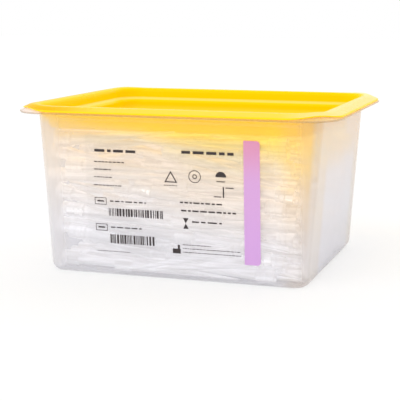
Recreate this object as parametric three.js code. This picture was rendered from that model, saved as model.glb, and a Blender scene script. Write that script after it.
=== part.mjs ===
// A bulk box of pipette tips: a thermoformed tub with a plug lid that lifts off, a clear label with a
// coloured band on its front, and loose tips lying lengthwise on the tub's floor. Millimetres, +Z up.
// The origin is under the middle of the base, X runs along the long side, and the label faces -Y.
import * as THREE from "three";
import { mergeVertices } from "three/addons/utils/BufferGeometryUtils.js";

// ---------------------------------------------------------------- driving dimensions
// How the tips fill the floor: so many end to end in a row, and so many full rows on each side of the
// middle one, with one shorter row beyond them. The tub is as long and as wide as that needs.
const tips_end_to_end = 2;
const full_rows_each_side = 9;
const end_room = 0.13;
const side_room = 1.7;

// The tub, measured outside. Its walls lean out by the draft, and its corners open up with height.
const tub_height = 94.4;
const wall_draft = 6.5;
const base_corner_radius = 9;
const mouth_corner_radius = 16;
const tub_wall = 0.8;
const floor_inside_radius = 4.2;

// The rim: a flat land round the mouth, then a skirt that turns down. The tub's corners are drawn out
// and down into peel tabs, and the lid's are set back and stay up, so that a finger gets between them.
const land_width = 4.6;
const tub_rim_reach = 9.9;
const lid_rim_reach = 9.6;
const skirt_angle = 24;
const root_radius = 0.8;
const skirt_radius = 1.6;
const tab_reach = 0.4;
const tab_drop = 0.2;
const lid_corner_setback = 2.4;
const lid_tab_rise = 1.3;
const tab_blend_angle = 45;

// The lid: one yellow sheet, dished so that its upper wall plugs the mouth and a ledge steps in to the
// lower wall round the flat panel.
const lid_wall = 0.6;
const lid_recess_depth = 13;
const lid_ledge_depth = 6.8;
const lid_ledge_width = 3.7;
const lid_ledge_slope = 27;
const lid_bend_radius = 0.9;
const lid_panel_radius = 2.2;
const lid_fit_clearance = 0.3;

// A loose 1200 microlitre tip: a plain cone with a collar, open at both ends.
const tip_length = 71.5;
const collar_length = 9.6;
const collar_step = 0.9;
const collar_radius = 4.3;
const shoulder_radius = 3.35;
const waist_radius = 1.6;
const waist_height = 24;
const point_radius = 0.62;
const mouth_bore_radius = 3.5;
const tip_wall = 0.42;
const orifice_radius = 0.33;
const tip_clearance = 0.2;

// The label: a clear film on the front wall, whose right end is a coloured band.
const label_width = 99.9;
const label_height = 68;
const label_thickness = 0.15;
const label_corner_radius = 1.8;
const label_shift = 0.7;
const label_centre_height = 46;
const band_width = 8.9;
const band_film_gap = 0.05;
const label_wall_gap = 0.05;

// Facets.
const corner_steps = 12;
const tip_sides = 10;
const label_corner_steps = 3;

// ---------------------------------------------------------------- materials
function plastic(name, colour, roughness, opacity = 1) {
  const material = new THREE.MeshStandardMaterial({ color: colour, roughness, metalness: 0 });
  material.name = name;
  material.transparent = opacity < 1;
  material.opacity = opacity;
  return material;
}

const tub_plastic = plastic("tub_plastic", 0xe9e4e4, 0.35, 0.35);
const lid_plastic = plastic("lid_plastic", 0xffd400, 0.3, 0.8);
const tip_plastic = plastic("tip_plastic", 0xf2efe9, 0.3, 0.7);
const label_plastic = plastic("label_plastic", 0xf7f4f4, 0.25, 0.25);
const band_ink = plastic("band_ink", 0xdfa6e2, 0.4);

// ---------------------------------------------------------------- bent sheet sections
// A section is drawn in a plane that stands square to the wall: "out" is the distance outwards from
// the base's sharp edge, and z is the height. A line runs through a point at an angle in degrees.
function line(out, z, angle) {
  const radians = THREE.MathUtils.degToRad(angle);
  return { out, z, angle, run: Math.cos(radians), rise: Math.sin(radians) };
}

// The same line moved to its left, which is the sheet's inner or upper side.
function parallel(from, distance) {
  return line(from.out - distance * from.rise, from.z + distance * from.run, from.angle);
}

function crossing(first, second) {
  const cross = first.run * second.rise - first.rise * second.run;
  const gap_out = second.out - first.out;
  const gap_z = second.z - first.z;
  const along = (gap_out * second.rise - gap_z * second.run) / cross;
  return { out: first.out + along * first.run, z: first.z + along * first.rise };
}

function pointOnCircle(centre, radius, angle) {
  const radians = THREE.MathUtils.degToRad(angle);
  return { out: centre.out + radius * Math.cos(radians), z: centre.z + radius * Math.sin(radians) };
}

// The arc that joins two lines of a sheet's lower side, for the surface that lies depth above it.
// Both surfaces of the sheet share the centre, so that the sheet keeps its thickness round the bend.
function bend(before, after, inside_radius, thickness, depth, steps) {
  const turns_left = after.angle > before.angle;
  const side = turns_left ? 1 : -1;
  const lower_radius = turns_left ? inside_radius + thickness : inside_radius;
  const centre = crossing(parallel(before, side * lower_radius), parallel(after, side * lower_radius));
  const radius = lower_radius - side * depth;
  const points = [];
  for (let step = 0; step <= steps; step += 1) {
    const angle = THREE.MathUtils.lerp(before.angle, after.angle, step / steps);
    points.push(pointOnCircle(centre, radius, angle - side * 90));
  }
  return points;
}

// One surface of a sheet: the bends between its lines, then its square-cut edge at edge_out.
function sheetSurface(sheet, depth) {
  const points = [];
  for (const [index, fold] of sheet.folds.entries()) {
    const before = sheet.lines[index];
    const after = sheet.lines[index + 1];
    points.push(...bend(before, after, fold.radius, sheet.thickness, depth, fold.steps));
  }
  const last = sheet.lines[sheet.lines.length - 1];
  const along = (sheet.edge_out - last.out) / last.run;
  const edge = { out: sheet.edge_out, z: last.z + along * last.rise };
  points.push({ out: edge.out - depth * last.rise, z: edge.z + depth * last.run });
  return points;
}

// ---------------------------------------------------------------- the tub's walls and rim as lines
const lean = THREE.MathUtils.radToDeg(Math.atan2(wall_draft, tub_height));
const land_underside = tub_height - tub_wall;
const floor_line = line(0, 0, 0);
const wall_line = line(0, 0, 90 - lean);
const land_line = line(0, land_underside, 0);
const mouth_out = wallOut(land_underside);
const skirt_line = line(mouth_out + land_width, land_underside, -skirt_angle);

// Where the wall's inside stands at the top of the floor's fillet.
const inside_out = crossing(parallel(wall_line, tub_wall), line(0, tub_wall + floor_inside_radius, 0)).out;

// How far the wall's outside has leaned out at a height.
function wallOut(z) {
  return (wall_draft * z) / tub_height;
}

// The corner radius of a ring, which runs parallel to the wall's own corner at that height.
function cornerRadius(out, z) {
  const height = THREE.MathUtils.clamp(z, 0, land_underside);
  const share = height / land_underside;
  const wall_radius = THREE.MathUtils.lerp(base_corner_radius, mouth_corner_radius, share);
  return wall_radius + out - wallOut(height);
}

// 0 along the sides and 1 at the middle of a corner, for the peel tabs.
function tabShape(angle_from_side) {
  const nearest = Math.min(angle_from_side, 90 - angle_from_side);
  return THREE.MathUtils.smoothstep(nearest, 0, tab_blend_angle);
}

// One closed ring round the box, counter-clockwise seen from above. Its corners are stretched by
// tab.reach and lowered by tab.drop where it belongs to the rim.
function ring(station, tab) {
  const radius = cornerRadius(station.out, station.z);
  const rim_share = (station.out - mouth_out) / (tab.edge_out - mouth_out);
  const tab_share = THREE.MathUtils.clamp(rim_share, 0, 1) * (station.z > tab.lowest ? 1 : 0);
  const points = [];
  for (let corner = 0; corner < 4; corner += 1) {
    const sign_x = corner === 0 || corner === 3 ? 1 : -1;
    const sign_y = corner < 2 ? 1 : -1;
    const centre_x = sign_x * (half_length + station.out - radius);
    const centre_y = sign_y * (half_width + station.out - radius);
    for (let step = 0; step <= corner_steps; step += 1) {
      const from_side = (90 * step) / corner_steps;
      const shape = tab_share * tabShape(from_side);
      const angle = THREE.MathUtils.degToRad(90 * corner + from_side);
      const reach = radius + shape * tab.reach;
      const x = centre_x + reach * Math.cos(angle);
      const y = centre_y + reach * Math.sin(angle);
      points.push(new THREE.Vector3(x, y, station.z - shape * tab.drop));
    }
  }
  return points;
}

// A closed body from rings: the first and the last are closed by flat fans.
function loftedBody(rings) {
  const count = rings[0].length;
  const vertices = rings.flat();
  const faces = [];
  for (let level = 0; level < rings.length - 1; level += 1) {
    for (let index = 0; index < count; index += 1) {
      const next = (index + 1) % count;
      const low = level * count;
      const high = low + count;
      faces.push(low + index, low + next, high + next);
      faces.push(low + index, high + next, high + index);
    }
  }
  const first_middle = vertices.length;
  vertices.push(new THREE.Vector3(0, 0, rings[0][0].z));
  const last_middle = vertices.length;
  vertices.push(new THREE.Vector3(0, 0, rings[rings.length - 1][0].z));
  const last_start = (rings.length - 1) * count;
  for (let index = 0; index < count; index += 1) {
    const next = (index + 1) % count;
    faces.push(first_middle, next, index);
    faces.push(last_middle, last_start + index, last_start + next);
  }
  const geometry = new THREE.BufferGeometry().setFromPoints(vertices);
  geometry.setIndex(faces);
  geometry.computeVertexNormals();
  return geometry;
}

// A formed sheet: up its lower side to the rim's edge, and back down its upper side.
function formedSheet(sheet, tab) {
  const lower = sheetSurface(sheet, 0);
  const upper = sheetSurface(sheet, sheet.thickness);
  const stations = [...lower, ...upper.reverse()];
  return loftedBody(stations.map((station) => ring(station, tab)));
}

// ---------------------------------------------------------------- the outline of a tip, and the tub's plan
// The outside of a tip, from its point to its mouth.
const collar_start = tip_length - collar_length;
const tip_outside = [
  new THREE.Vector2(point_radius, 0),
  new THREE.Vector2(waist_radius, waist_height),
  new THREE.Vector2(shoulder_radius, collar_start - collar_step),
  new THREE.Vector2(collar_radius, collar_start),
  new THREE.Vector2(collar_radius, tip_length),
];

// The bore, from the mouth back to the orifice.
const tip_inside = [
  new THREE.Vector2(mouth_bore_radius, tip_length),
  new THREE.Vector2(shoulder_radius - tip_wall, collar_start - collar_step),
  new THREE.Vector2(waist_radius - tip_wall, waist_height),
  new THREE.Vector2(orifice_radius, 0),
];

function tipRadiusAt(height) {
  for (let index = 1; index < tip_outside.length; index += 1) {
    const below = tip_outside[index - 1];
    const above = tip_outside[index];
    if (height <= above.y) {
      const share = (height - below.y) / (above.y - below.y);
      return THREE.MathUtils.lerp(below.x, above.x, share);
    }
  }
  return collar_radius;
}

// Neighbours lie head to tail, so the room that two of them need is the widest sum of radii.
function headToTailPitch() {
  const slices = 40;
  let widest = 0;
  for (let slice = 0; slice <= slices; slice += 1) {
    const height = (tip_length * slice) / slices;
    widest = Math.max(widest, tipRadiusAt(height) + tipRadiusAt(tip_length - height));
  }
  return widest + tip_clearance;
}

// A tip on the floor touches it with its point and with the lower edge of its collar, so it tilts.
const tip_tilt = Math.asin((collar_radius - point_radius) / collar_start);
const point_overhang = point_radius * Math.sin(tip_tilt);
const tip_run = tip_length * Math.cos(tip_tilt) + collar_radius * Math.sin(tip_tilt) + point_overhang;
const tip_floor = tub_wall + tip_clearance;
const row_length = tips_end_to_end * (tip_run + tip_clearance) - tip_clearance;

// The short rows lie with a collar beside the middles of the tips next to them.
const row_pitch = headToTailPitch();
const short_row_pitch = collar_radius + tipRadiusAt(tip_length / 2) + tip_clearance;
const short_row_y = full_rows_each_side * row_pitch + short_row_pitch;

// The points lie so low that they keep off the floor's fillet, short of where it climbs to them.
const climb = floor_inside_radius - tip_clearance / 2;
const fillet_free_run = Math.sqrt(floor_inside_radius ** 2 - climb ** 2);
const half_length = row_length / 2 + floor_inside_radius - fillet_free_run - inside_out + end_room;
const half_width = short_row_y + collar_radius + tip_clearance - inside_out + side_room;

// ---------------------------------------------------------------- tub and lid
function makeTub() {
  const sheet = {
    thickness: tub_wall,
    lines: [floor_line, wall_line, land_line, skirt_line],
    folds: [
      { radius: floor_inside_radius, steps: 4 },
      { radius: root_radius, steps: 2 },
      { radius: skirt_radius, steps: 2 },
    ],
    edge_out: mouth_out + tub_rim_reach,
  };
  const tab = { edge_out: sheet.edge_out, lowest: land_underside / 2, reach: tab_reach, drop: tab_drop };
  return formedSheet(sheet, tab);
}

// The lid's upper wall, land and skirt run parallel to the tub's own, one clearance above them.
function makeLid() {
  const stand_off = tub_wall + lid_fit_clearance;
  const lid_land = parallel(land_line, stand_off);
  const plug_wall = parallel(wall_line, stand_off);
  const ledge_height = lid_land.z - lid_ledge_depth;
  const ledge_middle = crossing(plug_wall, line(0, ledge_height, 0));
  const lower_wall = line(ledge_middle.out - lid_ledge_width, ledge_height, 90 - lean);
  const ledge = line(ledge_middle.out - lid_ledge_width / 2, ledge_height, lid_ledge_slope);
  const sheet = {
    thickness: lid_wall,
    lines: [
      line(0, lid_land.z - lid_recess_depth, 0),
      lower_wall,
      ledge,
      plug_wall,
      lid_land,
      parallel(skirt_line, stand_off),
    ],
    folds: [
      { radius: lid_panel_radius, steps: 3 },
      { radius: lid_bend_radius, steps: 2 },
      { radius: lid_bend_radius, steps: 2 },
      { radius: root_radius + stand_off, steps: 2 },
      { radius: skirt_radius + stand_off, steps: 2 },
    ],
    edge_out: mouth_out + lid_rim_reach,
  };
  const tab = {
    edge_out: sheet.edge_out,
    lowest: ledge_height,
    reach: -lid_corner_setback,
    drop: -lid_tab_rise,
  };
  return formedSheet(sheet, tab);
}

// ---------------------------------------------------------------- pipette tips
function makeTip() {
  const outline = [...tip_outside, ...tip_inside, tip_outside[0].clone()];
  const geometry = new THREE.LatheGeometry(outline, tip_sides);
  geometry.deleteAttribute("normal");
  geometry.deleteAttribute("uv");
  const merged = mergeVertices(geometry, 1e-4);
  merged.rotateZ(-Math.PI / 2);
  merged.computeVertexNormals();
  return merged;
}

function layTip(mesh, middle_x, row_y, points_left) {
  const holder = new THREE.Group();
  const point_side = points_left ? -1 : 1;
  holder.position.set(middle_x + point_side * (tip_run / 2 - point_overhang), row_y, tip_floor);
  holder.rotation.z = points_left ? 0 : Math.PI;
  mesh.position.z = point_radius;
  mesh.rotation.y = -tip_tilt;
  holder.add(mesh);
  return holder;
}

function addTipRow(layer, row_y, in_row, points_left) {
  for (let place = 0; place < in_row; place += 1) {
    const number = layer.children.length + 1;
    const mesh = new THREE.Mesh(makeTip(), tip_plastic);
    mesh.name = `tip_${String(number).padStart(2, "0")}`;
    const middle_x = (place - (in_row - 1) / 2) * (tip_run + tip_clearance);
    layer.add(layTip(mesh, middle_x, row_y, points_left));
  }
}

// Rows lie head to tail from the middle of the floor out to both long walls. The tub's corners cut the
// last row on each side short, so it holds a tip less.
function makeTipLayer() {
  const layer = new THREE.Group();
  for (let row = -full_rows_each_side; row <= full_rows_each_side; row += 1) {
    addTipRow(layer, row * row_pitch, tips_end_to_end, row % 2 === 0);
  }
  for (const side of [-1, 1]) {
    addTipRow(layer, side * short_row_y, tips_end_to_end - 1, full_rows_each_side % 2 === 0);
  }
  return layer;
}

// ---------------------------------------------------------------- label
// An outline with rounded corners on the right or on the left end only.
function labelOutline(left, right, round_left, round_right) {
  const half = label_height / 2;
  const shape = new THREE.Shape();
  const left_radius = round_left ? label_corner_radius : 0;
  const right_radius = round_right ? label_corner_radius : 0;
  shape.moveTo(left + left_radius, -half);
  shape.lineTo(right - right_radius, -half);
  if (round_right) {
    shape.absarc(right - right_radius, -half + right_radius, right_radius, -Math.PI / 2, 0);
    shape.absarc(right - right_radius, half - right_radius, right_radius, 0, Math.PI / 2);
  } else {
    shape.lineTo(right, half);
  }
  shape.lineTo(left + left_radius, half);
  if (round_left) {
    shape.absarc(left + left_radius, half - left_radius, left_radius, Math.PI / 2, Math.PI);
    shape.absarc(left + left_radius, -half + left_radius, left_radius, Math.PI, 1.5 * Math.PI);
  } else {
    shape.lineTo(left, -half);
  }
  return shape;
}

function labelPiece(name, outline, material) {
  const options = { depth: label_thickness, bevelEnabled: false, curveSegments: label_corner_steps };
  const mesh = new THREE.Mesh(new THREE.ExtrudeGeometry(outline, options), material);
  mesh.name = name;
  return mesh;
}

// The label's own frame stands on the front wall and leans out with it.
function makeLabel() {
  const band_left = label_width / 2 - band_width;
  const film_outline = labelOutline(-label_width / 2, band_left - band_film_gap, true, false);
  const band_outline = labelOutline(band_left, label_width / 2, false, true);
  const holder = new THREE.Group();
  const lean_angle = THREE.MathUtils.degToRad(lean);
  const wall_y = -(half_width + wallOut(label_centre_height));
  const gap_y = label_wall_gap * Math.cos(lean_angle);
  const gap_z = label_wall_gap * Math.sin(lean_angle);
  holder.position.set(label_shift, wall_y - gap_y, label_centre_height - gap_z);
  holder.rotation.x = Math.PI / 2 + lean_angle;
  holder.add(labelPiece("label_film", film_outline, label_plastic));
  holder.add(labelPiece("label_band", band_outline, band_ink));
  return holder;
}

// ---------------------------------------------------------------- the box of tips
const box_of_tips = new THREE.Group();

const tub = new THREE.Mesh(makeTub(), tub_plastic);
tub.name = "tub";
box_of_tips.add(tub);

const lid = new THREE.Mesh(makeLid(), lid_plastic);
lid.name = "lid";
box_of_tips.add(lid);

box_of_tips.add(makeLabel());
box_of_tips.add(makeTipLayer());

export default box_of_tips;
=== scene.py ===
# %% [markdown]
# # A box of pipette tips
# A thin clear tub stands on the bench, full of loose plastic tips. A yellow lid is dished down into
# its mouth, and a clear label with a lilac band is stuck on the front. The CAD model gives the tub,
# the lid, the label and the layer of tips on the floor. This lesson gives them their plastics, drops
# in the rest of the tips, prints the label, and sets up a plain studio. Every length is in metres.

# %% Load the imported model
import math

import bmesh
import bpy
import numpy as np
from mathutils import Matrix, Vector
from mathutils.bvhtree import BVHTree


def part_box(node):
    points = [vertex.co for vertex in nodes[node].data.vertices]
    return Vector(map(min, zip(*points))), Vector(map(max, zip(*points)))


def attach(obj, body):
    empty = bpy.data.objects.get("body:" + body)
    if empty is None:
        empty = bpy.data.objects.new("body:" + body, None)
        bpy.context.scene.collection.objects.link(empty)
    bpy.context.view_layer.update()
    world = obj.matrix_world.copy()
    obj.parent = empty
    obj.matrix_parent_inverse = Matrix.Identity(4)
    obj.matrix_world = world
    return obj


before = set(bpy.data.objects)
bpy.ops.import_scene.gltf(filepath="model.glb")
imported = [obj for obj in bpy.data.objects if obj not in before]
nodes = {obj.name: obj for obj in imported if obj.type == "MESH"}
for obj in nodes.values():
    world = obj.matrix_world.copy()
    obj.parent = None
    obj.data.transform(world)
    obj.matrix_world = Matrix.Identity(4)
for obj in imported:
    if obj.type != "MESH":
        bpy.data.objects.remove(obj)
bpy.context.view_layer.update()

MM = 0.001
tip_nodes = sorted(name for name in nodes if name.startswith("tip_"))
print("nodes:", len(nodes), "of which tips:", len(tip_nodes))

# %% [markdown]
# ## Small helpers for node trees
# A shader node tree is a set of boxes joined by links. It could be clicked together by hand, but a
# script can repeat it. So a few helpers come first: one turns a paint code into the linear numbers
# that a shader works in, one adds a node, and one fills a socket with a number or with a link.

# %% Paint codes, nodes and sockets
def paint(code):
    channels = [int(code[start:start + 2], 16) / 255 for start in (0, 2, 4)]
    linear = [c / 12.92 if c <= 0.04045 else ((c + 0.055) / 1.055) ** 2.4 for c in channels]
    return (*linear, 1.0)


def feed(tree, socket, value):
    """Links a socket to another node's output, or else writes the value into it."""
    if isinstance(value, bpy.types.NodeSocket):
        tree.links.new(value, socket)
    else:
        socket.default_value = value


def add_node(tree, kind, inputs=None, **settings):
    node = tree.nodes.new(kind)
    for name, value in settings.items():
        setattr(node, name, value)
    for name, value in (inputs or {}).items():
        feed(tree, node.inputs[name], value)
    return node


def new_material(name):
    material = bpy.data.materials.new(name)
    material.use_nodes = True
    tree = material.node_tree
    tree.nodes.clear()
    output = add_node(tree, "ShaderNodeOutputMaterial")
    shader = add_node(tree, "ShaderNodeBsdfPrincipled")
    tree.links.new(shader.outputs[0], output.inputs["Surface"])
    return material, tree, shader, output


WHITE = paint("ffffff")
print("lid yellow in linear numbers:", [round(v, 3) for v in paint("ffd700")])

# %% Arithmetic and mixes
FIRST_COLOUR, SECOND_COLOUR, MIXED_COLOUR = 6, 7, 2
FIRST_NUMBER, SECOND_NUMBER = 2, 3


def compute(tree, operation, *values, kind="ShaderNodeMath"):
    node = add_node(tree, kind, operation=operation)
    for socket, value in zip(node.inputs, values):
        feed(tree, socket, value)
    return node.outputs[0]


def compute_vector(tree, operation, *values):
    return compute(tree, operation, *values, kind="ShaderNodeVectorMath")


def mix_colours(tree, share, first, second, blend="MIX"):
    """A Mix node keeps sockets for every kind of data, so those for colours are reached by number."""
    mix = add_node(tree, "ShaderNodeMix", {"Factor": share}, data_type="RGBA", blend_type=blend)
    feed(tree, mix.inputs[FIRST_COLOUR], first)
    feed(tree, mix.inputs[SECOND_COLOUR], second)
    return mix.outputs[MIXED_COLOUR]


def mix_shaders(tree, share, first, second):
    return add_node(tree, "ShaderNodeMixShader", {0: share, 1: first, 2: second}).outputs[0]


print("a Mix node's colours enter at sockets", FIRST_COLOUR, "and", SECOND_COLOUR)

# %% Places and ramps
SMOOTH = "SMOOTHSTEP"


def ramp(tree, value, start=0.0, end=1.0, low=0.0, high=1.0, kind="LINEAR"):
    """Low where the value is at the start, high where it is at the end, and a blend in between."""
    sockets = {"Value": value, "From Min": start, "From Max": end, "To Min": low, "To Max": high}
    return add_node(tree, "ShaderNodeMapRange", sockets, interpolation_type=kind).outputs[0]


def own_place(tree):
    """A point's place in its object's own frame, which rides along when the lid is lifted."""
    return add_node(tree, "ShaderNodeTexCoord").outputs["Object"]


def split(tree, vector):
    return add_node(tree, "ShaderNodeSeparateXYZ", {0: vector}).outputs


def ramp_along(tree, axis, start, end):
    """0 before the start and 1 after the end, along one axis of the object's own frame."""
    return ramp(tree, split(tree, own_place(tree))[axis], start, end, kind=SMOOTH)


print("colours blend by ramps along X, Y or Z")

# %% [markdown]
# ## Shared effects as node groups
# The same few effects belong on several plastics. They could be copied into each material, but then a
# change would have to be made in each. So each is built once as a group with named sockets, and then
# placed in each material with its own values. A group only puts out colours, masks and heights: the
# shader itself stays in the material.

# %% Helpers that start and place a group
FLOAT, COLOUR, VECTOR = "NodeSocketFloat", "NodeSocketColor", "NodeSocketVector"


def new_group(name, inputs, outputs):
    group = bpy.data.node_groups.new(name, "ShaderNodeTree")
    for label, kind, value in inputs:
        socket = group.interface.new_socket(label, in_out="INPUT", socket_type=kind)
        socket.default_value = value
    for label, kind in outputs:
        group.interface.new_socket(label, in_out="OUTPUT", socket_type=kind)
    given = add_node(group, "NodeGroupInput").outputs
    result = add_node(group, "NodeGroupOutput").inputs
    return group, given, result


def place_group(tree, group, **values):
    node = add_node(tree, "ShaderNodeGroup", node_tree=group)
    for name, value in values.items():
        node.inputs[name.replace("_", " ")].default_value = value
    return node


print("groups are made with interface.new_socket, of kinds", FLOAT, COLOUR, VECTOR)

# %% [markdown]
# ### Light from the lid
# Light that comes down through the yellow lid warms whatever lies under it, and fades towards the
# floor. Following every bounce between hundreds of tips would take far too long, so part of this glow
# is painted. The group blends from a cool colour to a warm and a golden one by height, with a slow
# waver so that the edge of the glow isn't a ruled line. A tilt lets it reach lower towards +X.

# %% The group for the lid's glow
WAVER_SCALE = 18.0


def make_lid_glow():
    group, given, result = new_group(
        "lid_glow",
        [("Cool", COLOUR, paint("e9e6ea")), ("Warm", COLOUR, paint("f4e3cc")),
         ("Golden", COLOUR, paint("ffd65a")), ("Warm from", FLOAT, 0.02), ("Warm to", FLOAT, 0.06),
         ("Golden from", FLOAT, 0.06), ("Golden to", FLOAT, 0.09), ("Waver", FLOAT, 0.006),
         ("Tilt", FLOAT, 0.0)],
        [("Colour", COLOUR)])
    place = own_place(group)
    parts = split(group, place)
    slow = add_node(group, "ShaderNodeTexNoise", {"Vector": place, "Scale": WAVER_SCALE, "Detail": 2.0})
    centred = compute(group, "SUBTRACT", slow.outputs["Fac"], 0.5)
    tilted = compute(group, "MULTIPLY_ADD", parts["X"], given["Tilt"], parts["Z"])
    height = compute(group, "MULTIPLY_ADD", centred, given["Waver"], tilted)
    colour = given["Cool"]
    for hue in ("Warm", "Golden"):
        share = ramp(group, height, given[hue + " from"], given[hue + " to"], kind=SMOOTH)
        colour = mix_colours(group, share, colour, given[hue])
    feed(group, result["Colour"], colour)
    return group


lid_glow = make_lid_glow()
glow_inputs = [item.name for item in lid_glow.interface.items_tree if item.in_out == "INPUT"]
print(lid_glow.name, "has inputs", glow_inputs)

# %% [markdown]
# ### Moulded grain
# Thermoformed sheet is never optically flat: it carries a slow ripple, like orange peel, and a fine
# haze. Both could be sculpted, but they are far too shallow to be seen in an outline. So one group
# gives the ripple as a height for a Bump node, and the haze as a roughness.

# %% The group for moulded grain
HAZE_IN_HEIGHT = 0.01


def make_moulded_grain():
    group, given, result = new_group(
        "moulded_grain",
        [("Ripple size", FLOAT, 28.0), ("Haze size", FLOAT, 70.0), ("Smoothest", FLOAT, 0.2),
         ("Hazy", FLOAT, 0.35)],
        [("Height", FLOAT), ("Roughness", FLOAT)])
    place = own_place(group)
    ripple = add_node(group, "ShaderNodeTexNoise", {"Vector": place, "Scale": given["Ripple size"],
                                                    "Detail": 1.5, "Roughness": 0.45})
    haze = add_node(group, "ShaderNodeTexNoise", {"Vector": place, "Scale": given["Haze size"],
                                                  "Detail": 3.0})
    height = compute(group, "MULTIPLY_ADD", haze.outputs["Fac"], HAZE_IN_HEIGHT, ripple.outputs["Fac"])
    feed(group, result["Height"], height)
    roughness = ramp(group, haze.outputs["Fac"], 0.3, 0.7, given["Smoothest"], given["Hazy"])
    feed(group, result["Roughness"], roughness)
    return group


moulded_grain = make_moulded_grain()
print(moulded_grain.name, "feeds roughness and bump")

# %% [markdown]
# ### The way out to the rim
# The rim is a single sheet with nothing behind it, while the walls and the corners are seen through
# twice, so the same plastic looks different there. Painting the faces one by one would fail on the
# corners. Instead a group measures how far a point lies outside a rounded rectangle: below zero
# inside, above zero outside. It works in the object's own frame, so it moves with the lid.

# %% The group for the way out to the rim
def make_way_out():
    group, given, result = new_group(
        "way_out",
        [("Half size", VECTOR, (0.08, 0.07, 0.0)), ("Corner", FLOAT, 0.016), ("Start", FLOAT, 0.0),
         ("End", FLOAT, 0.002)],
        [("Share", FLOAT)])
    corner = add_node(group, "ShaderNodeCombineXYZ", {"X": given["Corner"], "Y": given["Corner"]})
    inset = compute_vector(group, "SUBTRACT", given["Half size"], corner.outputs[0])
    folded = compute_vector(group, "ABSOLUTE", own_place(group))
    beyond = split(group, compute_vector(group, "SUBTRACT", folded, inset))
    squares = []
    for axis in ("X", "Y"):
        outside = compute(group, "MAXIMUM", beyond[axis], 0.0)
        squares.append(compute(group, "POWER", outside, 2.0))
    length = compute(group, "SQRT", compute(group, "ADD", *squares))
    distance = compute(group, "SUBTRACT", length, given["Corner"])
    feed(group, result["Share"], ramp(group, distance, given["Start"], given["End"], kind=SMOOTH))
    return group


way_out = make_way_out()
print(way_out.name, "puts out a share from 0 on the walls to 1 on the rim")

# %% [markdown]
# ### Painted highlight streaks
# Each tip shows thin bright lines along its length, with darker lines between them. These are
# painted highlights and painted shade, in the tip's base colour and its emission. The tips lie along
# X, so noise that is stretched along X gives all of them their lines at once, without a map to
# unwrap.

# %% The group for painted highlight streaks
def make_highlight_streaks():
    group, given, result = new_group(
        "highlight_streaks",
        [("Stretch", VECTOR, (14.0, 420.0, 420.0)), ("Dark", COLOUR, paint("d8d2cc")),
         ("Light", COLOUR, paint("f6f3ee"))],
        [("Colour", COLOUR), ("Height", FLOAT)])
    stretched = compute_vector(group, "MULTIPLY", own_place(group), given["Stretch"])
    lines = add_node(group, "ShaderNodeTexNoise", {"Vector": stretched, "Scale": 1.0, "Detail": 3.0})
    share = ramp(group, lines.outputs["Fac"], 0.35, 0.65)
    feed(group, result["Colour"], mix_colours(group, share, given["Dark"], given["Light"]))
    feed(group, result["Height"], lines.outputs["Fac"])
    return group


highlight_streaks = make_highlight_streaks()
print(highlight_streaks.name, "runs along X")

# %% [markdown]
# ## Letting light in
# A path tracer treats a plastic wall as solid when it looks for the lamps, so the inside of a closed
# box turns dark. Real glass shaders would stay dark too. The remedy is a Mix Shader driven by Light
# Path: rays that only ask whether a lamp is in sight meet a tinted Transparent shader, and all others
# meet the plastic. That tint also colours the light that falls through the yellow lid.

# %% Helpers for see-through plastics
VEIL_BLEND = 0.35
GRAIN_DEPTH = 0.4 * MM


def clear_sheet(tree, tint):
    return add_node(tree, "ShaderNodeBsdfTransparent", {"Color": tint}).outputs[0]


def let_light_in(tree, surface, output, tint):
    path = add_node(tree, "ShaderNodeLightPath")
    mixed = mix_shaders(tree, path.outputs["Is Shadow Ray"], surface, clear_sheet(tree, tint))
    tree.links.new(mixed, output.inputs["Surface"])


def add_veil(tree, shader, face_on, edge_on, tint, haze=0.0):
    """A thin sheet: clear where it is seen face on, and its own milky plastic towards the edges."""
    facing = add_node(tree, "ShaderNodeLayerWeight", {"Blend": VEIL_BLEND})
    share = ramp(tree, facing.outputs["Facing"], low=face_on, high=edge_on)
    thickest = compute(tree, "MAXIMUM", share, haze)
    return mix_shaders(tree, thickest, clear_sheet(tree, tint), shader.outputs[0])


def add_bump(tree, shader, height, strength, depth):
    bump = add_node(tree, "ShaderNodeBump", {"Strength": strength, "Distance": depth, "Height": height})
    tree.links.new(bump.outputs[0], shader.inputs["Normal"])


def add_grain(tree, shader, strength, **values):
    grain = place_group(tree, moulded_grain, **values)
    tree.links.new(grain.outputs["Roughness"], shader.inputs["Roughness"])
    add_bump(tree, shader, grain.outputs["Height"], strength, GRAIN_DEPTH)


print("see-through plastics pass lamp light by a tinted Transparent shader")

# %% [markdown]
# ## The tub's plastic
# The tub is vacuum formed from thin clear polypropylene. Face on it is a faint milky veil over what
# lies behind it, and where it curves away its haze closes up, so the corners and the rim look denser.
# A glass shader with true thickness would need many bounces, so a Layer Weight node measures the turn
# instead, and mixes a Transparent shader with the milky plastic. Masks along X, Y and Z then tell the
# long walls, the right corner, the end wall, the flange and the cut edge apart. Some of their colour
# is painted light: the lid's glow warms the tops of the walls and the right corner, the flange is
# painted yellow towards the right by the lid's light, and the dark cut edge is partly painted shadow
# under the lid's edge.

# %% Colours of the tub's walls
PLASTIC_IOR = 1.49
RIGHT_CORNER = (0.058, 0.068)
CORNER_GLOW = (0.020, 0.075)
END_WALL_GLOW = (0.0, 0.075)
PATCH_FRONT = (-0.042, -0.031)
PATCH_BACK = (0.050, 0.036)
PATCH_TOP = (0.073, 0.056)
FACES_RIGHT = (0.72, 0.86)


def long_wall_colour(tree):
    """The lid's painted glow over the long walls, with a painted glow of its own in the right corner."""
    glow = place_group(tree, lid_glow, Cool=paint("e6e5ea"), Warm=paint("efe3d6"),
                       Golden=paint("ffe87c"), Warm_from=0.015, Warm_to=0.07, Golden_from=0.0745,
                       Golden_to=0.085, Waver=0.012, Tilt=0.125)
    corner = mix_colours(tree, ramp_along(tree, "Z", *CORNER_GLOW), paint("dcd4d0"), paint("f9dba0"))
    return mix_colours(tree, ramp_along(tree, "X", *RIGHT_CORNER), glow.outputs["Colour"], corner)


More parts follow.
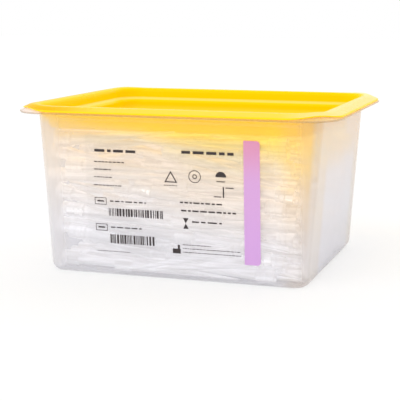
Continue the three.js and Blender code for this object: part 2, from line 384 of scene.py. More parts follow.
def end_wall_colour(tree):
    """The right end wall: warm grey, painted warmer by lid light at the top, with a cooler middle patch.
    """
    warm_wall = mix_colours(tree, ramp_along(tree, "Z", *END_WALL_GLOW), paint("e2dcd9"),
                            paint("e4dcd4"))
    patch = compute(tree, "MULTIPLY", ramp_along(tree, "Y", *PATCH_FRONT),
                    ramp_along(tree, "Y", *PATCH_BACK))
    patch = compute(tree, "MULTIPLY", patch, ramp_along(tree, "Z", *PATCH_TOP))
    return mix_colours(tree, patch, warm_wall, paint("e2e2eb"))


def wall_colour(tree):
    turned = split(tree, add_node(tree, "ShaderNodeTexCoord").outputs["Normal"])
    end_wall = ramp(tree, turned["X"], *FACES_RIGHT)
    return mix_colours(tree, end_wall, long_wall_colour(tree), end_wall_colour(tree))


print("the walls' colours change at", RIGHT_CORNER, "along X")

# %% Tub plastic
TUB_RIM_REACH = 9.9 * MM
MOUTH_CORNER = 16 * MM
CUT_EDGE_AND_SHADOW = 0.35 * MM
FLANGE_RAMP = (-0.080, -0.066)
LEFT_HAZE = (-0.048, -0.074)
RIGHT_HAZE = (0.060, 0.078)
HAZE_SHARE = 0.44


def rim_share(tree, high, inset, corner, end):
    """0 inside the rounded rectangle that lies this far inside the piece's outline, and 1 beyond it."""
    half_size = (high.x - inset, high.y - inset, 0.0)
    mask = place_group(tree, way_out, Start=0.0, End=end, Corner=corner, Half_size=half_size)
    return mask.outputs["Share"]


def tub_colour(tree):
    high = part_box("tub")[1]
    rim = rim_share(tree, high, TUB_RIM_REACH, MOUTH_CORNER, 1.5 * MM)
    # The flange turns yellow towards the right: painted light from the lid.
    flange = mix_colours(tree, ramp_along(tree, "X", *FLANGE_RAMP), paint("f3ddd2"), paint("f4d08a"))
    dressed = mix_colours(tree, rim, wall_colour(tree), flange)
    # A dark line along the cut edge: partly the edge itself, partly painted shadow under the lid's edge.
    edge = rim_share(tree, high, CUT_EDGE_AND_SHADOW, MOUTH_CORNER + TUB_RIM_REACH, 0.2 * MM)
    return mix_colours(tree, edge, dressed, paint("b59a70"))


def make_tub_plastic():
    material, tree, shader, output = new_material("tub_polypropylene")
    tree.links.new(tub_colour(tree), shader.inputs["Base Color"])
    add_grain(tree, shader, 0.02, Smoothest=0.24, Hazy=0.27)
    shader.inputs["IOR"].default_value = PLASTIC_IOR
    shader.inputs["Specular IOR Level"].default_value = 0.4
    ends = compute(tree, "MAXIMUM", ramp_along(tree, "X", *LEFT_HAZE),
                   ramp_along(tree, "X", *RIGHT_HAZE))
    haze = compute(tree, "MULTIPLY", ends, HAZE_SHARE)
    sheet = add_veil(tree, shader, 0.24, 0.75, WHITE, haze)
    let_light_in(tree, sheet, output, WHITE)
    return material


tub_plastic = make_tub_plastic()
print(tub_plastic.name, "nodes:", len(tub_plastic.node_tree.nodes))

# %% [markdown]
# ## The lid's plastic
# The lid is the same sheet with a strong yellow in it, almost closed to the eye but open to light. Its
# panel is a clear yellow, its walls are a shade deeper, and the ledge between them catches the sky,
# which is a painted highlight. One yellow for all would look flat. So a height mask tells panel,
# ledge and walls apart, and the way-out group finds the rim and its lip; a painted highlight makes
# the rim paler along the front and palest at the right and back. Faces that turn downwards are lit
# through the sheet, so the skirt and the dished walls get a brighter yellow, and the panel's underside
# a paler one, painted light as well. A weak yellow emission is a painted glow for the light that
# passes through the sheet.

# %% Colours of the lid's rim
LID_RIM_REACH = 9.6 * MM
LIP_INSET = 1.2 * MM
RIM_LEFT = (-0.070, -0.030)
RIM_RIGHT = (0.060, 0.080)
RIM_BACK = (0.040, 0.068)


def lid_rim_colour(tree):
    """Deep yellow at the far left, then a painted highlight: paler along the front, palest right and
    back.
    """
    front = mix_colours(tree, ramp_along(tree, "X", *RIM_LEFT), paint("f6aa00"), paint("fbcd4c"))
    sides = mix_colours(tree, ramp_along(tree, "X", *RIM_RIGHT), front, paint("f9d382"))
    return mix_colours(tree, ramp_along(tree, "Y", *RIM_BACK), sides, paint("f6dfa0"))


def lid_rim_share(tree, high):
    """The way out to the rim: slow along the front, and quick at the right end."""
    mix = add_node(tree, "ShaderNodeMix", {"Factor": ramp_along(tree, "X", *RIM_RIGHT)},
                   data_type="FLOAT")
    for number, end in ((FIRST_NUMBER, 7 * MM), (SECOND_NUMBER, 1.5 * MM)):
        feed(tree, mix.inputs[number], rim_share(tree, high, LID_RIM_REACH, MOUTH_CORNER, end))
    return mix.outputs[0]


print("the lid's rim reaches", LID_RIM_REACH, "out from its walls")

# %% Lid plastic
LEDGE_STARTS = (0.0062, 0.0069)
LEDGE_ENDS = (0.0083, 0.0075)
TURNED_DOWN = (0.0, -0.05)
UNDERSIDE = (-0.6, -0.9)


def lid_inside_colour(tree, low):
    """The panel, the ledge and the walls, by height above the lid's lowest point."""
    depth = place_group(tree, lid_glow, Cool=paint("ffcb30"), Warm=paint("ffca00"),
                        Golden=paint("ffcb00"), Warm_from=low + 0.001, Warm_to=low + 0.004,
                        Golden_from=low + 0.004, Golden_to=low + 0.012, Waver=0.0006)
    start, end = [[low + height for height in heights] for heights in (LEDGE_STARTS, LEDGE_ENDS)]
    # A painted highlight on the ledge, where it catches the sky.
    ledge = compute(tree, "MULTIPLY", ramp_along(tree, "Z", *start), ramp_along(tree, "Z", *end))
    return mix_colours(tree, ledge, depth.outputs["Colour"], paint("fbd970"))


def lid_colour(tree):
    low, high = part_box("lid")
    rim = lid_rim_share(tree, high)
    top_side = mix_colours(tree, rim, lid_inside_colour(tree, low.z), lid_rim_colour(tree))
    lip = rim_share(tree, high, LIP_INSET, MOUTH_CORNER + LID_RIM_REACH, 0.8 * MM)
    top_side = mix_colours(tree, lip, top_side, paint("fbcb24"))
    upright = split(tree, add_node(tree, "ShaderNodeTexCoord").outputs["Normal"])["Z"]
    skirt = mix_colours(tree, ramp(tree, upright, *TURNED_DOWN), top_side, paint("ffe426"))
    return mix_colours(tree, ramp(tree, upright, *UNDERSIDE), skirt, paint("ffe680"))


def make_lid_plastic():
    material, tree, shader, output = new_material("lid_polypropylene")
    tree.links.new(lid_colour(tree), shader.inputs["Base Color"])
    add_grain(tree, shader, 0.03, Smoothest=0.26, Hazy=0.32)
    shader.inputs["IOR"].default_value = PLASTIC_IOR
    shader.inputs["Specular IOR Level"].default_value = 0.03
    # A weak yellow emission: a painted glow for the light that passes through the sheet.
    shader.inputs["Emission Color"].default_value = paint("ffd800")
    shader.inputs["Emission Strength"].default_value = 0.14
    sheet = add_veil(tree, shader, 0.93, 1.0, paint("ffd830"))
    let_light_in(tree, sheet, output, paint("ffea80"))
    return material


lid_plastic = make_lid_plastic()
print(lid_plastic.name, "nodes:", len(lid_plastic.node_tree.nodes))

# %% [markdown]
# ## The tips' plastic
# Tips are natural polypropylene: white with a little depth, glossy, and thin enough that light leaks
# through the heap. True scattering inside each tip would be slow, so a weak emission of the tip's own
# colour stands in for it. The glow group warms the tips near the top, which are lit through the lid.

# %% Tip plastic
def make_tip_plastic():
    material, tree, shader, output = new_material("tip_polypropylene")
    glow = place_group(tree, lid_glow, Cool=paint("fcfcff"), Warm=paint("fff7ee"),
                       Golden=paint("fff2a0"), Warm_from=0.025, Warm_to=0.065, Golden_from=0.060,
                       Golden_to=0.086, Waver=0.022, Tilt=0.15)
    # Painted highlight and shade lines along the tips, in base colour and emission alike.
    streaks = place_group(tree, highlight_streaks, Dark=paint("dddad8"), Light=WHITE,
                          Stretch=(10.0, 560.0, 560.0))
    colour = mix_colours(tree, 1.0, glow.outputs["Colour"], streaks.outputs["Colour"], "MULTIPLY")
    for name in ("Base Color", "Emission Color"):
        tree.links.new(colour, shader.inputs[name])
    shader.inputs["Emission Strength"].default_value = 0.26
    add_bump(tree, shader, streaks.outputs["Height"], 0.1, 0.2 * MM)
    shader.inputs["Roughness"].default_value = 0.22
    shader.inputs["IOR"].default_value = PLASTIC_IOR
    let_light_in(tree, shader.outputs[0], output, paint("f4f3f2"))
    return material


tip_plastic = make_tip_plastic()
print(tip_plastic.name, "nodes:", len(tip_plastic.node_tree.nodes))

# %% [markdown]
# ## The label
# The label is a clear film with a very faint veil of its own. Its right end is a band of translucent
# lilac ink, which turns pinker towards the top, where yellow light comes through it. The print is a
# dark brown ink that sits on the film. An image could carry it all, but procedural inks stay sharp at
# any size, and Alpha alone is enough for a film this thin.

# %% Label materials
def make_label_film():
    material, tree, shader, _ = new_material("label_film")
    # The lid's painted glow warms the film towards the top.
    glow = place_group(tree, lid_glow, Cool=paint("f6f5f8"), Warm=paint("f9f1e8"),
                       Golden=paint("fbe6c4"), Warm_from=0.02, Warm_to=0.06, Golden_from=0.055,
                       Golden_to=0.085, Tilt=0.09)
    tree.links.new(glow.outputs["Colour"], shader.inputs["Base Color"])
    add_grain(tree, shader, 0.15, Smoothest=0.18, Hazy=0.26)
    shader.inputs["Alpha"].default_value = 0.04
    return material


def make_band_ink():
    material, tree, shader, _ = new_material("lilac_band_ink")
    glow = place_group(tree, lid_glow, Cool=paint("dcaae8"), Warm=paint("deaae2"),
                       Golden=paint("e49ac0"), Warm_from=0.02, Warm_to=0.055, Golden_from=0.055,
                       Golden_to=0.080)
    tree.links.new(glow.outputs["Colour"], shader.inputs["Base Color"])
    add_grain(tree, shader, 0.1, Smoothest=0.30, Hazy=0.42)
    shader.inputs["Alpha"].default_value = 0.92
    return material


def make_print_ink():
    material, tree, shader, _ = new_material("dark_print_ink")
    wear = add_node(tree, "ShaderNodeTexNoise", {"Vector": own_place(tree), "Scale": 1400.0,
                                                 "Detail": 2.0})
    tone = mix_colours(tree, wear.outputs["Fac"], paint("1c1517"), paint("3d3131"))
    tree.links.new(tone, shader.inputs["Base Color"])
    shader.inputs["Roughness"].default_value = 0.5
    return material


label_film = make_label_film()
band_ink = make_band_ink()
print_ink = make_print_ink()
print("label materials:", label_film.name, band_ink.name, print_ink.name)

# %% [markdown]
# ## Dressing the CAD nodes
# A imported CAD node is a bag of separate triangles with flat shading. Its shape stays as it is. A small
# Geometry Nodes modifier joins the triangles and shades them softly where they meet at a shallow
# angle. Smoothing everything would round off the rim's cut edges, so steeper edges stay sharp. A
# Weighted Normal modifier then lets the large flat walls decide, so small bends look like bends.

# %% Soft shading for CAD nodes
JOIN_WITHIN = 1e-5
SHARPEST_BEND = math.radians(50)


def make_soft_shading():
    group = bpy.data.node_groups.new("soft_shading", "GeometryNodeTree")
    for way in ("INPUT", "OUTPUT"):
        group.interface.new_socket("Geometry", in_out=way, socket_type="NodeSocketGeometry")
    given = add_node(group, "NodeGroupInput").outputs
    result = add_node(group, "NodeGroupOutput").inputs
    joined = add_node(group, "GeometryNodeMergeByDistance", {"Geometry": given[0],
                                                             "Distance": JOIN_WITHIN})
    freed = add_node(group, "GeometryNodeRemoveAttribute", {"Geometry": joined.outputs[0],
                                                            "Name": "custom_normal"})
    smooth = add_node(group, "GeometryNodeSetShadeSmooth", {"Geometry": freed.outputs[0]},
                      domain="FACE")
    angle = add_node(group, "GeometryNodeInputMeshEdgeAngle").outputs["Unsigned Angle"]
    steep = add_node(group, "FunctionNodeCompare", {0: angle, 1: SHARPEST_BEND}, data_type="FLOAT",
                     operation="GREATER_THAN")
    creased = add_node(group, "GeometryNodeSetShadeSmooth",
                       {"Geometry": smooth.outputs[0], "Selection": steep.outputs[0],
                        "Shade Smooth": False}, domain="EDGE")
    feed(group, result[0], creased.outputs[0])
    return group


soft_shading = make_soft_shading()
print(soft_shading.name, "keeps edges sharp above", round(math.degrees(SHARPEST_BEND)), "degrees")

# %% Dress every node
def dress(name, material):
    node = nodes[name]
    node.data.materials.clear()
    node.data.materials.append(material)
    shading = node.modifiers.new("soft shading", "NODES")
    shading.node_group = soft_shading
    normals = node.modifiers.new("weighted normals", "WEIGHTED_NORMAL")
    normals.keep_sharp = True
    normals.weight = 100


dress("tub", tub_plastic)
dress("lid", lid_plastic)
dress("label_film", label_film)
dress("label_band", band_ink)
for tip_name in tip_nodes:
    dress(tip_name, tip_plastic)
print("dressed", len(nodes), "CAD nodes")

# %% [markdown]
# ## The print on the label
# The film carries dark print. Here it is a set of plain marks: rows of dashes, stripes, frames and a
# few simple figures that say nothing. They could be laid in by a mask, but real faces keep crisp
# edges. They are drawn flat in the film's own plane, whose corner and slant are measured on the film
# itself, and stand a hair in front of it. One mesh holds them all, because ink has no parts.

# %% The film's plane
film_points = [v.co.copy() for v in nodes["label_film"].data.vertices]
film_bottom = min(film_points, key=lambda point: (round(point.z, 5), point.y))
film_top = min(film_points, key=lambda point: point.y)
film_up = Vector((0.0, film_top.y - film_bottom.y, film_top.z - film_bottom.z)).normalized()
film_out = Vector((1.0, 0.0, 0.0)).cross(film_up)
film_corner = Vector((min(point.x for point in film_points), film_bottom.y, film_bottom.z))
INK_LIFT = 0.03 * MM


def on_film(across_mm, up_mm):
    across_film = Vector((across_mm * MM, 0, 0))
    return film_corner + across_film + film_up * up_mm * MM + film_out * INK_LIFT


print("the film leans", round(math.degrees(math.asin(-film_up.y)), 2), "degrees")

# %% Flat marks, in millimetres across and up the film
marks = []


def add_mark(*corners):
    marks.append([on_film(across, up) for across, up in corners])


def add_bar(left, bottom, right, top):
    add_mark((left, bottom), (right, bottom), (right, top), (left, top))


def add_frame(left, bottom, right, top, line):
    add_bar(left, bottom, right, bottom + line)
    add_bar(left, top - line, right, top)
    add_bar(left, bottom + line, left + line, top - line)
    add_bar(right - line, bottom + line, right, top - line)


def around(middle, up, radius, degrees):
    angle = math.radians(degrees)
    return middle + radius * math.cos(angle), up + radius * math.sin(angle)


def add_ring(middle, up, outer, inner, end=360.0, steps=28):
    turns = [end * step / steps for step in range(steps + 1)]
    for turn, after in zip(turns, turns[1:]):
        add_mark(*[around(middle, up, radius, angle)
                   for radius, angle in ((inner, turn), (outer, turn), (outer, after), (inner, after))])


print("marks so far:", len(marks))

# %% Rows of dashes and stripes
marks_chance = np.random.default_rng(7)
SHORTEST_DASH = 0.3
DASH_SPREAD = (0.6, 1.9)
DASH_GAP = 0.42
STRIPE_WIDTHS = [0.35, 0.50, 0.80, 1.10]
STRIPE_GAPS = [0.35, 0.50, 0.80]


def add_dashes(left, bottom, right, top, weight):
    """Dashes of uneven length in one row, which fill this share of the row's height."""
    row = top - bottom
    half = row * weight / 2
    middle = (top + bottom) / 2
    at = left
    while at < right - SHORTEST_DASH:
        length = min(row * marks_chance.uniform(*DASH_SPREAD), right - at)
        add_bar(at, middle - half, at + length, middle + half)
        at += length + row * DASH_GAP


def add_stripes(left, bottom, right, top):
    """Upright stripes of uneven width."""
    at = left
    while at < right:
        width = marks_chance.choice(STRIPE_WIDTHS)
        add_bar(at, bottom, min(at + width, right), top)
        at += width + marks_chance.choice(STRIPE_GAPS)


ROWS = [(56.4, 58.7, 86.0, 62.2, 0.45), (5.7, 57.7, 30.7, 61.2, 0.42),
        (5.3, 52.4, 23.0, 53.9, 0.40), (5.1, 48.2, 15.8, 49.6, 0.40),
        (4.9, 43.9, 16.1, 45.2, 0.40), (4.6, 39.3, 21.6, 40.6, 0.40),
        (13.8, 29.9, 35.1, 32.3, 0.28), (13.7, 15.1, 32.6, 17.3, 0.28),
        (5.0, 1.7, 25.0, 2.7, 0.30), (46.0, 41.4, 53.6, 42.2, 0.50),
        (54.9, 31.7, 78.7, 33.6, 0.42), (55.4, 27.1, 86.5, 29.2, 0.42),
        (61.5, 20.6, 78.4, 23.6, 0.26), (55.9, 8.3, 72.0, 9.4, 0.34),
        (55.9, 6.2, 88.6, 7.3, 0.34), (55.9, 4.1, 89.0, 5.2, 0.34)]
for row in ROWS:
    add_dashes(*row)
for stripes in ((12.9, 22.7, 44.7, 27.1), (13.2, 7.0, 39.4, 12.1)):
    add_stripes(*stripes)
print("rows of dashes:", len(ROWS), "marks:", len(marks))

# %% Frames and simple figures
FRAME_HEIGHT = 4.0
FRAME_LINE = 0.32
RINGS_AT = (63.6, 47.3)
TRIANGLE_AT = (49.9, 45.6)
TRIANGLE_OUTER, TRIANGLE_INNER = 4.3, 3.1
HALF_DISC_AT = (78.3, 47.7)


def add_triangle():
    for turn in (90, 210, 330):
        add_mark(*[around(*TRIANGLE_AT, reach, turn + swing)
                   for reach, swing in ((TRIANGLE_OUTER, 0), (TRIANGLE_OUTER, 120),
                                        (TRIANGLE_INNER, 120), (TRIANGLE_INNER, 0))])


def add_figures():
    for bottom in (28.9, 13.9):
        add_frame(4.7, bottom, 11.7, bottom + FRAME_HEIGHT, FRAME_LINE)
        add_bar(6.2, bottom + 0.4 * FRAME_HEIGHT, 10.2, bottom + 0.6 * FRAME_HEIGHT)
    for outer, inner in ((3.5, 3.1), (1.3, 0.8)):
        add_ring(*RINGS_AT, outer, inner)
    add_triangle()
    add_ring(*HALF_DISC_AT, 3.0, 0.0, end=180, steps=14)
    for bar in ((75.9, 45.0, 80.7, 45.5), (79.3, 36.4, 80.0, 42.4), (80.8, 41.7, 85.4, 42.2),
                (74.2, 36.6, 78.4, 37.1)):
        add_bar(*bar)
    add_mark((56.4, 24.0), (57.9, 21.0), (59.5, 24.0))
    add_mark((56.4, 18.0), (59.5, 18.0), (57.9, 21.0))
    for block in ((50.0, 3.7, 54.6, 6.4), (52.9, 6.4, 54.2, 8.6)):
        add_bar(*block)


add_figures()
print("marks in all:", len(marks))

# %% Meshes and pieces
def mesh_data(name, mesh):
    data = bpy.data.meshes.new(name)
    mesh.to_mesh(data)
    mesh.free()
    return data


def place_object(name, data):
    placed = bpy.data.objects.new(name, data)
    bpy.context.scene.collection.objects.link(placed)
    return placed


def add_print():
    mesh = bmesh.new()
    for corners in marks:
        mesh.faces.new([mesh.verts.new(corner) for corner in corners])
    bmesh.ops.recalc_face_normals(mesh, faces=mesh.faces)
    data = mesh_data("label_print", mesh)
    data.materials.append(print_ink)
    piece = place_object("label_print", data)
    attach(piece, "tub")
    return piece


label_print = add_print()
print(label_print.name, "faces:", len(label_print.data.polygons))

# %% [markdown]
# ## A tip in detail
# Only the tips on the floor are solids of the model. The others are made here, so first comes one tip
# in full: a long cone with a waist, a shoulder, a collar with two sealing grooves, and a bore from end
# to end. A Screw modifier could spin it, but bmesh builds the closed skin directly: its outline is a
# list of radii along its length, in millimetres, and each becomes a ring.

# %% One loose tip
TIP_LENGTH = 71.5 * MM
TIP_SIDES = 14
tip_outside = [(0.62, 0.0), (0.80, 4.0), (1.60, 24.0), (1.78, 25.0), (3.35, 61.0), (4.30, 61.9),
               (4.30, 63.4), (4.02, 63.7), (4.02, 64.3), (4.30, 64.6), (4.30, 66.6), (4.02, 66.9),
               (4.02, 67.5), (4.30, 67.8), (4.30, 71.3), (4.12, 71.5)]
tip_inside = [(3.55, 71.5), (2.93, 60.9), (1.18, 24.0), (0.33, 0.0)]


def tip_ring(mesh, radius, along):
    angles = [2 * math.pi * side / TIP_SIDES for side in range(TIP_SIDES)]
    return [mesh.verts.new(Vector((along, radius * math.cos(angle), radius * math.sin(angle))) * MM)
            for angle in angles]


def make_tip_template():
    mesh = bmesh.new()
    rings = [tip_ring(mesh, radius, along) for radius, along in tip_outside + tip_inside]
    for ring, after in zip(rings, rings[1:] + rings[:1]):
        for side in range(TIP_SIDES):
            follows = (side + 1) % TIP_SIDES
            mesh.faces.new((ring[side], ring[follows], after[follows], after[side]))
    bmesh.ops.recalc_face_normals(mesh, faces=mesh.faces)
    return mesh_data("tip_template", mesh)


tip_template = make_tip_template()
print("a tip has", len(tip_template.polygons), "faces")

# %% [markdown]
# ## Where the heap may lie
# The heap fills the tub up to the lid. Its room could be copied as numbers from the CAD source, but
# rays measure the real pieces and stay right if those change. Rays cast up from the middle of the tub
# find the underside of the lid, and rays cast down from there find the floor, the walls and the tips
# that the model already holds. Both are kept as maps on a fine grid.

# %% Height maps by ray casting
CELL_MM = 0.8
CELL = CELL_MM * MM
GRID_X = np.arange(-82, 82.01, CELL_MM) * MM
GRID_Y = np.arange(-73, 73.01, CELL_MM) * MM
MID_HEIGHT = 40 * MM
OFF_THE_LID = 0.1 * MM
FACES_UP = 0.01
NO_ROOM = 1.0
UP, DOWN = Vector((0, 0, 1)), Vector((0, 0, -1))


def ray_tree(names):
    points, faces = [], []
    for name in names:
        data = nodes[name].data
        first = len(points)
        points.extend(v.co.copy() for v in data.vertices)
        faces.extend([first + index for index in polygon.vertices] for polygon in data.polygons)
    return BVHTree.FromPolygons(points, faces)


def cast_maps():
    lid_tree = ray_tree(["lid"])
    held_tree = ray_tree(["tub"] + tip_nodes)
    ceiling = np.zeros((len(GRID_X), len(GRID_Y)))
    ground = np.full_like(ceiling, NO_ROOM)
    for i, x in enumerate(GRID_X):
        for j, y in enumerate(GRID_Y):
            hit = lid_tree.ray_cast(Vector((x, y, MID_HEIGHT)), UP)[0]
            if hit is None:
                continue
            start = hit.z - OFF_THE_LID
            below, normal, _, _ = held_tree.ray_cast(Vector((x, y, start)), DOWN)
            if below is not None and normal.z > FACES_UP and start > below.z:
                ceiling[i, j] = hit.z
                ground[i, j] = below.z
    return ceiling, ground


ceiling_map, ground_map = cast_maps()
open_cells = ground_map < NO_ROOM
print("room for tips over", int(open_cells.sum()), "cells; lid underside at",
      round(float(np.median(ceiling_map[open_cells])), 4))

# %% [markdown]
# ## Dropping the tips
# The tips lie loose but mostly lengthwise, two to the tub's length. A rigid body simulation of
# hundreds of tips would be slow and hard to repeat, so a simple rule stands in for it. Each tip is
# tried at many places at once, nearly along the box. The map says how high its axis must lie along its
# length, and the tip settles on the two highest supports on either side of its middle, as a rod does.
# Of the tries that fit, the best is kept and added to the map: a low one, and above all in the left
# half one that falls towards the right. The random numbers have a fixed seed, so the heap is the same
# each time. The rule looks at heights alone, so here and there a tip still cuts into another one, by
# some two millimetres at worst.

# %% Stations along a tip
stations = np.linspace(0.0, TIP_LENGTH, 25)
outline_at = np.array([along for _, along in tip_outside]) * MM
outline_radius = np.array([radius for radius, _ in tip_outside]) * MM
station_radius = np.interp(stations, outline_at, outline_radius)
across = np.array([-0.9, -0.5, 0.0, 0.5, 0.9])
NO_CEILING = 10.0


def look_up(height_map, x, y):
    i = np.clip(np.rint((x - GRID_X[0]) / CELL).astype(int), 0, len(GRID_X) - 1)
    j = np.clip(np.rint((y - GRID_Y[0]) / CELL).astype(int), 0, len(GRID_Y) - 1)
    return height_map[i, j]


def needed_heights(point_x, point_y, heading):
    """How high a tip's axis must be at each station, and how high it may be."""
    along_x, along_y = np.cos(heading), np.sin(heading)
    x = point_x[:, None] + stations * along_x[:, None]
    y = point_y[:, None] + stations * along_y[:, None]
    needed = np.zeros_like(x)
    allowed = np.full_like(x, NO_CEILING)
    for share in across:
        side = share * station_radius
        side_x = x - side * along_y[:, None]
        side_y = y + side * along_x[:, None]
        rise = station_radius * math.sqrt(1 - share * share)
        needed = np.maximum(needed, look_up(ground_map, side_x, side_y) + rise)
        allowed = np.minimum(allowed, look_up(ceiling_map, side_x, side_y) - rise)
    return needed, allowed


print("a tip is tested at", len(stations), "stations, each", len(across), "points wide")

# %% The settling rule
MIDDLE = 43.0 * MM
left_side = np.where(stations < MIDDLE)[0]
right_side = np.where(stations > MIDDLE)[0]


def settle(needed):
    """The line that rests on the highest supports on both sides of the middle: its start and slope."""
    left, right = stations[left_side], stations[right_side]
    share = (MIDDLE - left[:, None]) / (right[None, :] - left[:, None])
    chords = needed[:, left_side, None] * (1 - share) + needed[:, None, right_side] * share
    best = chords.reshape(len(needed), -1).argmax(axis=1)
    i, j = np.unravel_index(best, share.shape)
    rows = np.arange(len(needed))
    low, high = needed[rows, left_side[i]], needed[rows, right_side[j]]
    slope = (high - low) / (right[j] - left[i])
    return low - slope * left[i], slope


print("stations on either side of a tip's middle:", len(left_side), len(right_side))

# %% Add a tip to the map
PATCH_REACH = 5 * MM
END_MARGIN = 0.2 * MM
heap = []


def stamp(point_x, point_y, heading, start, slope):
    """Raises the map to the top of a tip that has been laid."""
    heap.append((point_x, point_y, heading, start, slope))
    along_x, along_y = math.cos(heading), math.sin(heading)
    end_x, end_y = point_x + TIP_LENGTH * along_x, point_y + TIP_LENGTH * along_y
    i, j = [np.where((grid > min(ends) - PATCH_REACH) & (grid < max(ends) + PATCH_REACH))[0]
            for grid, ends in ((GRID_X, (point_x, end_x)), (GRID_Y, (point_y, end_y)))]
    gap_x = GRID_X[i][:, None] - point_x
    gap_y = GRID_Y[j][None, :] - point_y
    along = gap_x * along_x + gap_y * along_y
    side = -gap_x * along_y + gap_y * along_x
    radius = np.interp(along, outline_at, outline_radius)
    covered = (along > -END_MARGIN) & (along < TIP_LENGTH + END_MARGIN) & (np.abs(side) < radius)
    top = start + slope * along + np.sqrt(np.maximum(radius ** 2 - side ** 2, 0))
    patch = ground_map[np.ix_(i, j)]
    ground_map[np.ix_(i, j)] = np.where(covered, np.maximum(patch, top), patch)


print("the heap starts empty:", len(heap))

# %% Try many places and keep the best
chance = np.random.default_rng(31)
TRIES = 130
STEEPEST = 0.25
LEFT_ROOM = 1 * MM
RIGHT_ROOM_MM = (4, 9)
NEAT_TURN, WILD_TURN = math.radians(2.6), math.radians(8)
WILD_SHARE = 0.12
COLLARS_OUT_LEFT, COLLARS_OUT_RIGHT = 0.12, 0.55
LEANING = 24 * MM
LEANING_SHARE_RIGHT = 0.3
UNDER_THE_LID = 0.3 * MM
SLACK = 0.05 * MM


def draw_places():
    """Random tries: a heading nearly along the box, and the collar outwards or inwards by chance."""
    low_x = GRID_X[0] + LEFT_ROOM
    high_x = GRID_X[-1] - chance.uniform(*RIGHT_ROOM_MM, TRIES) * MM
    heading = chance.normal(0, NEAT_TURN, TRIES)
    wild = chance.random(TRIES) < WILD_SHARE
    heading = np.where(wild, chance.normal(0, WILD_TURN, TRIES), heading)
    middle_x = chance.uniform(low_x + TIP_LENGTH / 2, high_x - TIP_LENGTH / 2, TRIES)
    middle_y = chance.uniform(GRID_Y[0], GRID_Y[-1], TRIES)
    out_share = np.where(middle_x < 0, COLLARS_OUT_LEFT, COLLARS_OUT_RIGHT)
    collar_out = chance.random(TRIES) < out_share
    heading = np.where((middle_x > 0) == collar_out, heading, heading + math.pi)
    return middle_x, middle_y, heading


def drop_one():
    middle_x, middle_y, heading = draw_places()
    point_x = middle_x - np.cos(heading) * TIP_LENGTH / 2
    point_y = middle_y - np.sin(heading) * TIP_LENGTH / 2
    needed, allowed = needed_heights(point_x, point_y, heading)
    start, slope = settle(needed)
    axis = start[:, None] + slope[:, None] * stations
    fits = (axis < allowed - UNDER_THE_LID).all(axis=1) & (needed.max(axis=1) < NO_ROOM / 2)
    fits &= np.abs(slope) < STEEPEST
    if not fits.any():
        return False
    falls_right = -slope * np.cos(heading)
    leaning = np.where(middle_x < 0, falls_right, LEANING_SHARE_RIGHT * falls_right) * LEANING
    score = np.where(fits, start + slope * MIDDLE - leaning, np.inf)
    best = int(score.argmin())
    stamp(point_x[best], point_y[best], heading[best], start[best] + SLACK, slope[best])
    return True


print("each tip has", TRIES, "tries")

# %% Drop the loose tips
MOST_MISSES = 200
misses = 0
while misses < MOST_MISSES:
    if not drop_one():
        misses += 1
tops = [start + slope * MIDDLE for _, _, _, start, slope in heap]
print("dropped", len(heap), "tips; the highest middle lies at", round(max(tops), 4))

# %% [markdown]
# ## Building the heap's meshes
# One object for each tip would make hundreds of pieces that are slow to handle. So the laid tips are
# merged into two meshes by bmesh, the lower half of the heap and the upper half. Each tip is spun
# about its own axis by a random angle, so that their flat sides don't line up.

# %% Heap meshes
SHARP_ANGLE = math.radians(35)


def tip_placing(point_x, point_y, heading, start, slope):
    spin = Matrix.Rotation(chance.uniform(0, 2 * math.pi), 4, "X")
    pitch = Matrix.Rotation(-math.atan(slope), 4, "Y")
    turn = Matrix.Rotation(heading, 4, "Z")
    return Matrix.Translation((point_x, point_y, start)) @ turn @ pitch @ spin


def add_tips(name, laid):
    mesh = bmesh.new()
    for tip in laid:
        first = len(mesh.verts)
        mesh.from_mesh(tip_template)
        mesh.verts.ensure_lookup_table()
        bmesh.ops.transform(mesh, matrix=tip_placing(*tip), verts=mesh.verts[first:])
    data = mesh_data(name, mesh)
    data.shade_smooth()
    data.set_sharp_from_angle(angle=SHARP_ANGLE)
    data.materials.append(tip_plastic)
    piece = place_object(name, data)
    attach(piece, "tub")
    return piece


half_way = len(heap) // 2
lower_tips = add_tips("loose_tips_lower", heap[:half_way])
upper_tips = add_tips("loose_tips_upper", heap[half_way:])
print("faces:", len(lower_tips.data.polygons), len(upper_tips.data.polygons))

# %% [markdown]
# ## The studio
# The floor is a large pale sheet under a white sky. Strong lamps would burn out the milky plastics and
# throw hard shadows, so most of the light comes from the whole sky. One broad lamp from the upper left
# and a weaker one from behind on the right give the walls their shading.

# %% Floor and sky
FLOOR_SIZE = 4.0
FLOOR_DROP = 0.2 * MM
FLOOR_SHINE = 0.6
SKY_STRENGTH = 0.92


def make_floor_paper():
    """Matt paper mixed with white for the eye alone, so the floor looks pale and keeps its shadow."""
    material, tree, shader, output = new_material("floor_paper")
    shader.inputs["Base Color"].default_value = paint("f4f4f4")
    shader.inputs["Roughness"].default_value = 0.9
    shader.inputs["Specular IOR Level"].default_value = 0.1
    shine = add_node(tree, "ShaderNodeEmission", {"Color": WHITE, "Strength": 1.0})
    path = add_node(tree, "ShaderNodeLightPath")
    share = compute(tree, "MULTIPLY", path.outputs["Is Camera Ray"], FLOOR_SHINE)
    mixed = mix_shaders(tree, share, shader.outputs[0], shine.outputs[0])
    tree.links.new(mixed, output.inputs["Surface"])
    return material


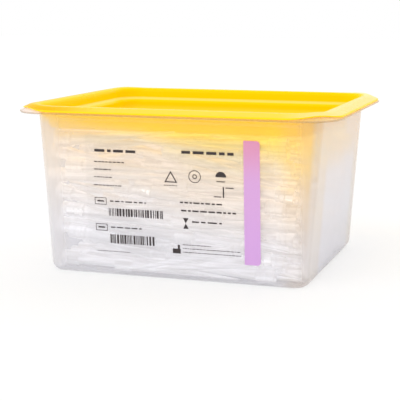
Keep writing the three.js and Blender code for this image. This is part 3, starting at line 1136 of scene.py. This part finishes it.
def make_floor():
    mesh = bmesh.new()
    bmesh.ops.create_grid(mesh, x_segments=8, y_segments=8, size=FLOOR_SIZE)
    floor = place_object("studio_floor", mesh_data("studio_floor", mesh))
    floor.location.z = -FLOOR_DROP
    floor.data.materials.append(make_floor_paper())


def make_sky():
    """Full white where it is looked at, mirrored or seen through, and a little weaker as a lamp."""
    world = bpy.data.worlds.new("white_sky")
    bpy.context.scene.world = world
    world.use_nodes = True
    tree = world.node_tree
    tree.nodes.clear()
    path = add_node(tree, "ShaderNodeLightPath").outputs
    seen = compute(tree, "MAXIMUM", path["Is Camera Ray"], path["Is Glossy Ray"])
    bright = compute(tree, "MAXIMUM", seen, path["Is Transmission Ray"])
    level = ramp(tree, bright, low=SKY_STRENGTH, high=1.0)
    sky = add_node(tree, "ShaderNodeBackground", {"Color": WHITE, "Strength": level})
    add_node(tree, "ShaderNodeOutputWorld", {"Surface": sky.outputs[0]})


make_floor()
make_sky()
print("floor and sky are set")

# %% Lamps
def add_lamp(name, comes_from, strength, softness):
    lamp = bpy.data.lights.new(name, "SUN")
    lamp.energy = strength
    lamp.angle = math.radians(softness)
    holder = place_object(name, lamp)
    holder.location = comes_from
    holder.rotation_euler = Vector(comes_from).to_track_quat("Z", "Y").to_euler()


add_lamp("key_lamp", (-0.5, -0.7, 0.9), strength=0.7, softness=40)
add_lamp("back_lamp", (0.3, 0.8, 0.8), strength=0.5, softness=60)

# %% [markdown]
# ## The camera
# A tub like this is shown from the front and a little from above, so that the label and the right end
# are both seen. A wide lens would stretch the near corner, so a long one stands further back.

# %% Camera
LENS = 101.7
SENSOR_WIDTH = 36.0
CAMERA_PLACE = (0.2061, -0.6365, 0.1514)
CAMERA_PITCH, CAMERA_YAW = math.radians(80.08), math.radians(18.33)


def make_camera():
    data = bpy.data.cameras.new("view_camera")
    data.lens = LENS
    data.sensor_width = SENSOR_WIDTH
    camera = place_object("view_camera", data)
    camera.location = CAMERA_PLACE
    camera.rotation_euler = (CAMERA_PITCH, 0.0, CAMERA_YAW)
    bpy.context.scene.camera = camera


make_camera()
bpy.context.scene.view_settings.view_transform = "Standard"
bpy.context.scene.cycles.use_denoising = True
print("view transform:", bpy.context.scene.view_settings.view_transform)
